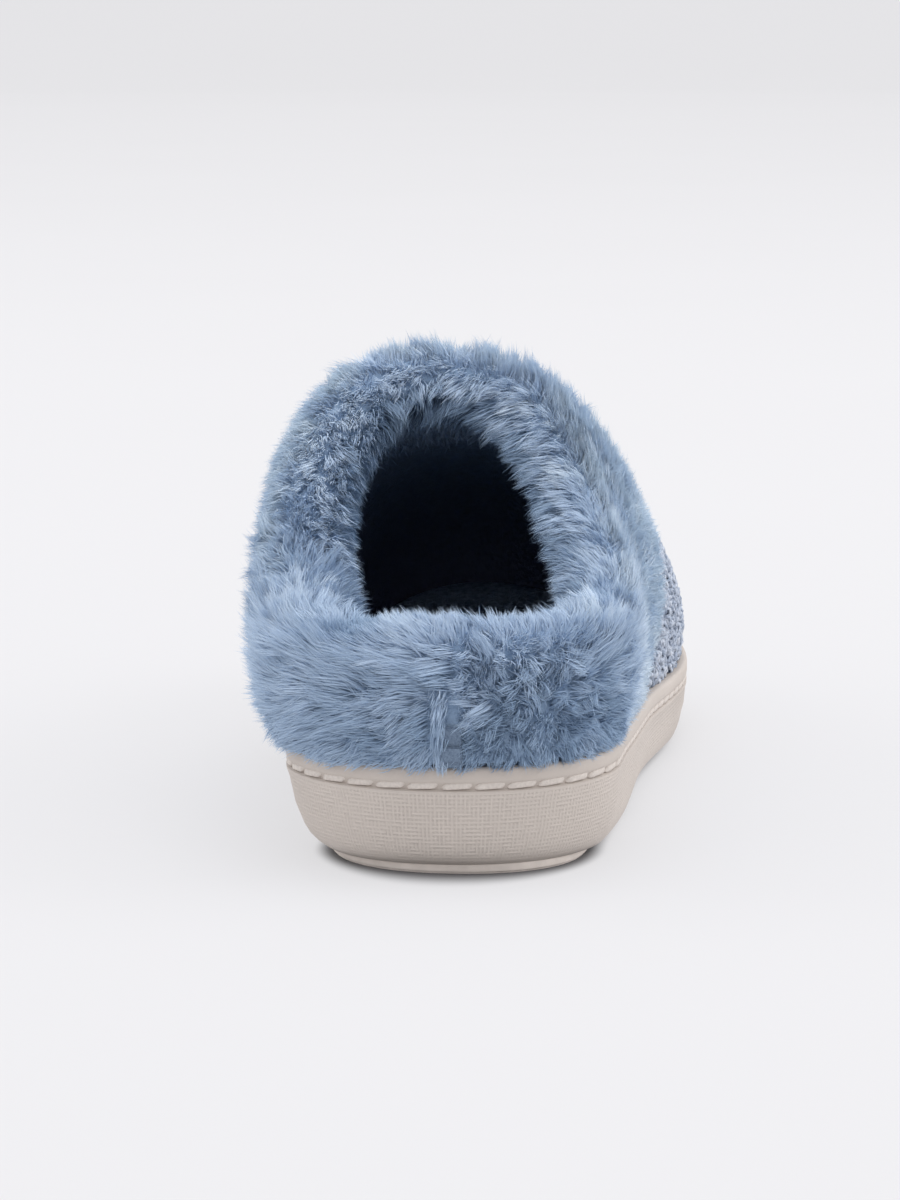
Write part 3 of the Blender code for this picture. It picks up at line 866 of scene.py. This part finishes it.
def loops():
    """Curled yarn loops over the knit in front of the cuff."""
    random = np.random.default_rng(SEED)
    spans, sides = 5, 3
    wall = upper_wall(UPPER_STEPS, LOOP_ROWS)
    climb = np.linspace(0, 1, LOOP_ROWS)[:, None]
    border = round_shoe(CUFF, "bare", even_turns(wall.shape[1])) + KNIT_OVERLAP
    bare = (climb < border) & (climb > KNIT_START)
    chosen = pick_cells(cell_areas(wall) * bare, LOOPS, random)
    centre, normal = wall.reshape(-1, 3)[chosen], wall_normals(wall).reshape(-1, 3)[chosen]
    stray = random.normal(0, LOOP_STRAY, centre.shape)
    centre = centre + stray - normal * np.sum(stray * normal, axis=1, keepdims=True)
    first = unit(np.cross(normal, random.normal(size=normal.shape)))
    tilt = random.uniform(*LOOP_TILT, (LOOPS, 1))
    second = unit(np.cross(normal, first) + normal * tilt)
    share = np.linspace(0, 1, spans)
    sweep = share * random.uniform(*LOOP_HALF_TURNS, (LOOPS, 1)) * math.pi
    radius = LOOP_RADIUS * random.uniform(*LOOP_SIZES, (LOOPS, 1, 1)) * (1 - LOOP_CLOSING * share[:, None])
    curl = first[:, None] * np.cos(sweep)[..., None] + second[:, None] * np.sin(sweep)[..., None]
    lift = LOOP_LIFT - LOOP_DIP * (2 * share[:, None] - 1) ** 4
    line = centre[:, None] + normal[:, None] * lift + radius * curl
    binormal = unit(np.cross(first, second))
    turn = np.linspace(0, 2 * math.pi, sides, endpoint=False)[:, None]
    thick = YARN_RADIUS * random.uniform(*YARN_SIZES, (LOOPS, 1, 1, 1))
    around = curl[:, :, None] * np.cos(turn) + binormal[:, None, None] * np.sin(turn)
    points = line[:, :, None] + thick * around
    mesh = mesh_from_arrays("knit_loops", points, tube_faces(LOOPS, spans, sides))
    tone = np.clip(random.normal(*LOOP_TONE, LOOPS), 0, 1)
    add_attribute(mesh, "tone", np.repeat(tone, spans * sides))
    new_piece(mesh, [knit_material()])


def plush():
    """Short blades of plush on the footbed and on the lining, where the opening shows them."""
    random = np.random.default_rng(SEED + 1)
    wall = upper_wall(UPPER_STEPS, LINING_ROWS)
    facing = -wall_normals(wall)
    lining = wall + facing * UPPER_WALL
    seen = (lining[:, :, 1] < PLUSH_END) & (lining[:, :, 2] > CUP_FLOOR + INSOLE_THICK)
    chosen = pick_cells(cell_areas(wall) * seen, BLADES, random)
    roots = lining.reshape(-1, 3)[chosen] + random.normal(0, BLADE_STRAY, (BLADES, 3))
    material = fur_material("plush_hair")
    # Blades on the lining take its painted light and shade
    tone = painted_lining_light(chosen // wall.shape[1] / (LINING_ROWS - 1), roots[:, 1])
    mesh = blades("lining_plush", roots, facing.reshape(-1, 3)[chosen], random, tone)
    new_piece(mesh, [material])
    along = random.uniform(PLUSH_START, PLUSH_END, BLADES)
    half = half_width(along) - INSOLE_INSET - PLUSH_CLEAR
    across = section("swing", along) + random.uniform(-1, 1, BLADES) * half
    level = np.maximum(section("rise", along), 0) + CUP_FLOOR + GAP + INSOLE_THICK - INSOLE_DISH
    roots = np.column_stack([across, along, level])
    up = np.tile([0.0, 0.0, 1.0], (BLADES, 1))
    mesh = blades("footbed_plush", roots, up, random, FOOTBED_TONE)
    new_piece(mesh, [material])


def blades(name, roots, facing, random, tone):
    """A mesh of single pointed blades that lean at random and are paler at the tip."""
    count = len(roots)
    lean = unit(facing + random.normal(size=(count, 3)) * BLADE_LEAN)
    half = unit(np.cross(lean, random.normal(size=(count, 3)))) * BLADE_WIDTH / 2
    tip = roots + lean * BLADE_LENGTH * random.uniform(*BLADE_LENGTHS, (count, 1))
    points = np.stack([roots - half, roots + half, tip], axis=1)
    mesh = mesh_from_arrays(name, points, [np.arange(3 * count).reshape(-1, 3)])
    own = np.clip(random.normal(0, BLADE_TONE_SPREAD, count) + tone, 0, 1)[:, None]
    add_attribute(mesh, "tone", own * np.array(BLADE_TONES))
    return mesh


def pick_cells(weight, count, random):
    """Indices of cells of a grid, evenly spread by weight."""
    total = np.cumsum(weight.ravel())
    places = (np.arange(count) + random.uniform(0, 1, count)) / count * total[-1]
    return np.searchsorted(total, places)


def cuff_grid(rows, share):
    """Pile face of the cuff as a grid [row][turn], from the hem over the edge and down inside.

    share is how much of the pile's depth the face takes."""
    walls = upper_wall(UPPER_STEPS, CUFF_WALL_ROWS)
    normals = wall_normals(walls)
    cuffs = all_round(CUFF, even_turns(walls.shape[1]))
    grid = []
    for i in range(walls.shape[1]):
        cuff = Cuff("", *(values[i] for values in cuffs[1:]))
        off_sole = np.searchsorted(walls[:, i, 2] - walls[0, i, 2], CUFF_LIFT)
        start = max(cuff.bare * (CUFF_WALL_ROWS - 1), off_sole)
        picked = np.linspace(start, CUFF_WALL_ROWS - 1, rows.outside).round().astype(int)
        grid.append(pile_line(walls[picked, i], normals[picked, i], cuff, rows, share))
    return np.swapaxes(np.array(grid), 0, 1)


def pile_line(points, normals, cuff, rows, share):
    """The pile's face in one section, from the hem to the turned-in end."""
    top, out = points[-1], normals[-1]
    lift = unit(top - points[-2])
    swell = cuff.hem + (1 - cuff.hem) * np.sin(np.linspace(0, 1, len(points)) * math.pi / 2)
    outside = points + normals * (CUFF_GAP + share * cuff.outside * swell)[:, None]
    reach_out = CUFF_GAP + share * cuff.outside
    reach_in = UPPER_WALL + CUFF_GAP + share * cuff.inside
    reach_up = CUFF_GAP + share * (cuff.outside + cuff.inside) / 2
    angles = np.linspace(0, math.pi, rows.top + 2)[1:-1, None]
    side = np.cos(angles) * np.where(angles < math.pi / 2, reach_out, reach_in)
    over = top + out * side + lift * reach_up * np.sin(angles)
    depths = np.linspace(0, cuff.turned_in, rows.inside)
    run = run_along(points[::-1])
    places, facing = (read_along(run, values[::-1], depths) for values in (points, normals))
    taper = np.cos(np.linspace(0, INNER_TAPER, rows.inside) * math.pi / 2)
    depth_in = UPPER_WALL + CUFF_GAP + share * cuff.inside * taper
    inside = places - unit(facing) * depth_in[:, None]
    return np.concatenate([outside, over, inside])


def fur_body():
    """The ground of the fur: the cuff's closed form under the hairs."""
    grid, back = (cuff_grid(BODY_ROWS, share) for share in (BODY_SHARE, 0.0))
    front = np.arange(grid[..., 0].size).reshape(grid.shape[:2])
    behind = front + front.size
    faces = [
        ring_quads(front),
        ring_quads(behind)[:, ::-1],
        ring_quads(np.stack([behind[0], front[0]])),
        ring_quads(np.stack([front[-1], behind[-1]])),
    ]
    mesh = mesh_from_arrays("fur_body", np.concatenate([grid, back]), [np.concatenate(faces)])
    new_piece(mesh, [grainy_material("fur_ground")], ["fur_cuff"])


# Columns of values with a row for each tuft or hair. aside and upward: round the shoe and up the roll.
Tufts = namedtuple("Tufts", "centre normal aside upward lean reach lip shade")


def fur():
    """Hairs in tufts over the whole cuff, in four pieces round the shoe."""
    random = np.random.default_rng(SEED)
    grid = cuff_grid(TUFT_ROWS, BODY_SHARE)
    pile = lengths(cuff_grid(TUFT_ROWS, 1.0) - grid)
    normals = wall_normals(grid)
    along_turn = unit(np.roll(grid, -1, axis=1) - np.roll(grid, 1, axis=1))
    up_path = unit(np.gradient(grid, axis=0))
    area = lengths(np.cross(np.gradient(grid, axis=0), along_turn))
    area = area * lengths(np.roll(grid, -1, axis=1) - grid)
    area[in_slit(grid)] = 0
    chosen = np.sort(pick_cells(area.T, TUFTS, random))
    turn, row = chosen // grid.shape[0], chosen % grid.shape[0]
    centre, normal, aside, upward = (field[row, turn] for field in (grid, normals, along_turn, up_path))
    turns = even_turns(grid.shape[1])[turn]
    lay = all_round(LAY, turns[:, None])
    zone = zones(row)
    stray = random.normal(size=(TUFTS, 2)) * lay.stray
    sway = np.column_stack([ripple(centre, random) for _ in range(3)])
    stray = (stray + LOCK_SWAY * sway[:, :2]) * (1 - INNER_CALM * zone.inner)
    sideways, lifted, hanging = tuft_lean(centre, zone, lay, stray)
    lean = aside * sideways + upward * lifted
    creased = crease_depth(turns, zone)
    reach = tuft_reach(pile[row, turn][:, None], zone, lay, creased, lean, random)
    lip = ring(outline(UPPER_STEPS), 0.0, 1.0, 0.0)[turn, 2][:, None]
    shade = tuft_tone_and_painted_light(zone, lay, sway[:, 2:], hanging, creased, random)
    tufts = Tufts(centre, normal, aside, upward, lean, reach, lip, shade)
    material = fur_material("fur_hair")
    for name, share in zip(FUR_PIECES, np.array_split(np.arange(TUFTS), len(FUR_PIECES))):
        mesh = hairs(name, Tufts(*(field[share] for field in tufts)), random)
        new_piece(mesh, [material])


def zones(row):
    """Where tufts lie on the roll: values from 0 to 1 for each slope and bump."""
    found = {}
    for name, (first, last) in SLOPES.items():
        found[name] = np.clip((row - first) / (last - first), 0, 1)[:, None]
    for name, (middle, width) in BUMPS.items():
        found[name] = np.exp(-(((row - middle) / width) ** 2))[:, None]
    return Zones(**found)


def tuft_lean(centre, zone, lay, stray):
    """How far tufts lean to the next turn and up the roll, and how far they belong to the hanging one."""
    sideways = blend(lay.aside, lay.inner_aside, zone.inner) + stray[:, :1]
    fan = TUFT_FAN * (zone.climb - 0.5) * (1 - zone.inner)
    lifted = blend(lay.lifted, lay.inner_lifted, zone.inner) + fan + stray[:, 1:]
    beside_slit = (centre[:, :1] - SLIT_ACROSS) / (2 * SLIT_HALF_WIDTH)
    at_slit = (centre[:, 1:2] < COLLAR[0].along) & (centre[:, 2:] < SLIT_TOP)
    sideways = sideways + (at_slit & (beside_slit > 0)) * SLIT_PARTING * np.exp(-(beside_slit**2))
    hanging = at_slit * np.exp(-(((centre[:, :1] - HANGING_TUFT) / HANGING_WIDTH) ** 4))
    return sideways * (1 - hanging), lifted - HANGING_DROP * hanging, hanging


def crease_depth(turns, zone):
    """Share of the pile that the creases take from tufts on the crest and inside; it also sets their
    painted shade.
    """
    depth = sum(fold.depth * np.exp(-(((turns - fold.turn) / fold.width) ** 2)) for fold in CREASES)
    return depth[:, None] * np.maximum(zone.crest, zone.inner)


def tuft_reach(pile, zone, lay, creased, lean, random):
    """How far tufts stand out of the fur's ground."""
    fuzz = lay.fuzz * (HEM_FUZZ + (1 - HEM_FUZZ) * np.sin(zone.climb * math.pi / 2))
    fuzz = blend(fuzz, lay.inner_fuzz, zone.inner)
    reach = (pile + fuzz) * random.uniform(*TUFT_LENGTHS, (TUFTS, 1))
    reach = np.maximum(reach * (1 - CREST_TRIM * zone.crest), SHORTEST_REACH) * (1 - creased)
    return np.minimum(reach, LONGEST_HAIR / np.sqrt(1 + np.sum(lean**2, axis=1, keepdims=True)))


def tuft_tone_and_painted_light(zone, lay, sway, hanging, creased, random):
    """How much paler tufts are than the fur's middle tone, with painted light and shade by place and in
    creases.
    """
    shade = random.normal(0, TUFT_TONE_SPREAD, (TUFTS, 1)) + LOCK_TONE * sway + HANGING_TONE * hanging
    above = lay.crest * (1 - zone.within) + lay.deep * zone.within ** DEEP_POWER
    shade = shade + lay.low * (1 - zone.high) + above * zone.high
    return shade + lay.rim * zone.rim - CREASE_PAINTED_SHADE * creased


def in_slit(points):
    """Which points lie in the slit at the centre back, a narrow V that closes towards the top."""
    foot = section("edge", 0.0)
    open_share = np.clip((SLIT_TOP - points[..., 2]) / (SLIT_TOP - foot), 0, 1)
    near = np.abs(points[..., 0] - SLIT_ACROSS) < SLIT_HALF_WIDTH * np.sqrt(open_share)
    return near & (points[..., 1] < COLLAR[0].along)


def back_strip():
    """The plain cloth strip in the slit, and the folded end at its foot."""
    grid = cuff_grid(BODY_ROWS, BODY_SHARE)
    face = grid[: grid.shape[0] // 2].reshape(-1, 3)
    face = face[(face[:, 1] < COLLAR[0].along) & (np.abs(face[:, 0] - SLIT_ACROSS) < STRIP_WIDTH)]
    face = face[np.argsort(face[:, 2])]
    built = bmesh.new()
    for (low, high), proud in ((STRIP_LEVELS, STRIP_PROUD), (FOLD_LEVELS, STRIP_PROUD + STRIP_THICK)):
        cloth_slab(built, face, low, high, proud)
    mesh = mesh_from_bmesh("back_strip", built)
    new_piece(mesh, [grainy_material("strip_cloth")])


def cloth_slab(built, face, low, high, proud):
    """A thin slab with soft edges that follows the fur's ground between two levels."""
    slab = bmesh.ops.create_cube(built, size=1.0)["verts"]
    edges = list(dict.fromkeys(edge for corner in slab for edge in corner.link_edges))
    bmesh.ops.scale(built, vec=(STRIP_WIDTH, STRIP_THICK, high - low), verts=slab)
    soft = bmesh.ops.bevel(built, geom=edges, offset=STRIP_ROUND, segments=2, affect="EDGES")
    for corner in dict.fromkeys(corner for part in soft["faces"] for corner in part.verts):
        level = corner.co.z + (low + high) / 2
        depth = np.interp(level, face[:, 2], face[:, 1]) - proud
        corner.co = to_row((SLIT_ACROSS + corner.co.x, depth + corner.co.y, level))


def ripple(points, random, waves=14):
    """A smooth wavy value at each point, about 1 in size, that bends neighbouring tufts as one lock."""
    heading = unit(random.normal(size=(waves, 3))) * 2 * math.pi
    heading = heading / random.uniform(*LOCK_SIZES, (waves, 1))
    phase = random.uniform(0, 2 * math.pi, waves)
    return np.sin(points @ heading.T + phase).sum(axis=1) / math.sqrt(waves / 2)


def hairs(name, tufts, random):
    """A mesh of flat tapered hairs that rise from the ground, bend over and draw in to their tuft."""
    grown = Tufts(*(np.repeat(field, HAIRS_PER_TUFT, axis=0) for field in tufts))
    count = len(grown.centre)
    spread = random.normal(size=(count, 2)) * TUFT_RADIUS
    root = grown.aside * spread[:, :1] + grown.upward * spread[:, 1:]
    own = random.normal(size=(count, 3)) * HAIR_STRAY
    reach = grown.reach * random.uniform(*HAIR_LENGTHS, (count, 1))
    lines = []
    for v in HAIR_STEPS:
        drawn = root * (1 - HAIR_CLOSING * v**CLOSING_POWER)
        rise = reach * v * (1 + HAIR_BEND - HAIR_BEND * v) - ROOT_DEPTH
        bent = reach * v * (1 - HAIR_BEND + HAIR_BEND * v)
        lines.append(grown.centre + drawn + grown.normal * rise + grown.lean * bent + own * v)
    lines = np.stack(lines, axis=1)
    rest = grown.lip + random.uniform(*LIP_COVER, (count, 1))
    lines[:, :, 2] = np.maximum(lines[:, :, 2], rest)
    run = np.gradient(lines, axis=1)
    facing = unit(grown.normal + random.normal(size=(count, 3)) * HAIR_TWIST)
    across = unit(np.cross(run, facing[:, None]))
    half = HAIR_WIDTH / 2 * random.uniform(*HAIR_WIDTHS, (count, 1, 1)) * np.array(HAIR_TAPER)[:, None]
    left, right = lines[:, :-1] - across[:, :-1] * half, lines[:, :-1] + across[:, :-1] * half
    pairs = np.stack([left, right], axis=2).reshape(count, -1, 3)
    points = np.concatenate([pairs, lines[:, -1:]], axis=1)
    first = np.arange(count)[:, None] * points.shape[1]
    quads = first + np.array([0, 1, 3, 2])
    tips = first + np.array([2, 3, 4])
    mesh = mesh_from_arrays(name, points, [quads, tips])
    level = np.repeat(np.array(HAIR_STEPS), 2)[: points.shape[1]]
    own_tone = random.normal(0, HAIR_TONE_SPREAD, (count, 1))
    # Darker roots: partly the hairs' own colour, partly painted shade deep in the pile
    tone = ROOT_TONE + TIP_TONE * level[None, :] + grown.shade + own_tone
    add_attribute(mesh, "tone", np.clip(tone, 0, 1))
    return mesh


def stage():
    """Pale round floor that turns up into a plain backdrop, with a painted shadow close to the shoe's
    foot.
    """
    reach, height, radius = 6.0, 0.9, 0.7
    flat_rings, cove_steps, shadow_rings = (0.5, 1.5), 13, 9
    profile = [(far, 0.0) for far in (*flat_rings, reach - radius)]
    for angle in np.linspace(0, math.pi / 2, cove_steps)[1:]:
        profile.append((reach - radius + radius * math.sin(angle), radius - radius * math.cos(angle)))
    profile.append((reach, height))
    points, normals = outline(UPPER_STEPS)
    turns = even_turns(len(points))
    foot = tread_rim(turns)
    shadow = SHADOW_REACH + HEEL_SHADOW * np.clip(np.cos(2 * math.pi * turns), 0, 1) ** HEEL_SHADOW_POWER
    built = bmesh.new()
    rings, outside_painted_shadow = [], []
    # Rings from the foot outwards: the floor's own light fades in across them, leaving a painted shadow
    for share in np.linspace(0, 1, shadow_rings):
        flat = points + (foot + share * shadow)[:, None] * normals
        rings.append(add_ring(built, np.column_stack([flat, np.full(len(flat), -SHIFT[2])])))
        outside_painted_shadow.append(share * share * (3 - 2 * share))
    heading = 2 * math.pi * turns - math.pi / 2
    for far, level in profile:
        rings.append([built.verts.new((far * math.cos(a), far * math.sin(a), level)) for a in heading])
        outside_painted_shadow.append(1.0)
    built.faces.new(rings[0])
    for inner, outer in zip(rings, rings[1:]):
        bridge(built, outer, inner)
    mesh = mesh_from_bmesh("backdrop", built, sharp_angle=60)
    add_attribute(mesh, "outside_painted_shadow", np.repeat(outside_painted_shadow, len(turns)))
    emission = (0.99, 0.985, 1.0, 1.0)
    look = Shader("backdrop_paper", Roughness=0.9, Specular_IOR_Level=0.1, Emission_Color=emission)
    # Emission is cut back inside the painted shadow
    brightness = look.math("MULTIPLY", look.attribute("outside_painted_shadow"), FLOOR_GLOW)
    look.plug(brightness, look.shader.inputs["Emission Strength"])
    mottle = look.noise(scale=3.0)
    look.colour(mottle, (0.0, (0.205, 0.204, 0.211)), (1.0, (0.215, 0.214, 0.221)))
    mesh.materials.append(look.material)
    backdrop = new_object(mesh)


def area_light(name, place, aim, size, power):
    data = bpy.data.lights.new(name, "AREA")
    data.shape = "RECTANGLE"
    data.size, data.size_y = size
    data.energy = power
    lamp = new_object(data)
    lamp.location = place
    lamp.rotation_euler = (Vector(aim) - Vector(place)).to_track_quat("-Z", "Y").to_euler()


def lights():
    for name, across, power in (("right_box", 2.0, 15), ("left_box", -2.0, 9)):
        area_light(name, place=(across, 0.5, 1.1), aim=(0, 0, 0.05), size=(1.6, 1.4), power=power)
    area_light("top_box", place=(0.1, 0.1, 3.0), aim=(0, 0, 0), size=(2.4, 2.4), power=28)
    world = bpy.data.worlds.new("studio")
    world.use_nodes = True
    sky = world.node_tree.nodes["Background"].inputs
    sky["Color"].default_value = (0.98, 0.98, 1.0, 1)
    sky["Strength"].default_value = 1.11
    bpy.context.scene.world = world
    bpy.context.scene.view_settings.view_transform = "Standard"


def camera():
    """The photograph's view: from behind the heel, a little above and to the outside."""
    azimuth, elevation = math.radians(4.24), math.radians(9.16)
    distance = 0.900
    focal_pixels, frame_height = 3912.0, 1200.0
    aim = (-2.4, 60.0, 52.6)
    level = math.cos(elevation)
    back = Vector((math.sin(azimuth) * level, -math.cos(azimuth) * level, math.sin(elevation)))
    data = bpy.data.cameras.new("photo_camera")
    data.sensor_fit = "VERTICAL"
    data.sensor_height = 24.0
    data.lens = focal_pixels / frame_height * data.sensor_height
    data.clip_start = 0.05
    view = new_object(data)
    view.location = Vector(to_row(aim)) + back * distance
    view.rotation_euler = (-back).to_track_quat("-Z", "Y").to_euler()
    bpy.context.scene.camera = view


sole()
stitches()
insole()
upper()
loops()
plush()
fur_body()
fur()
back_strip()
stage()
lights()
camera()
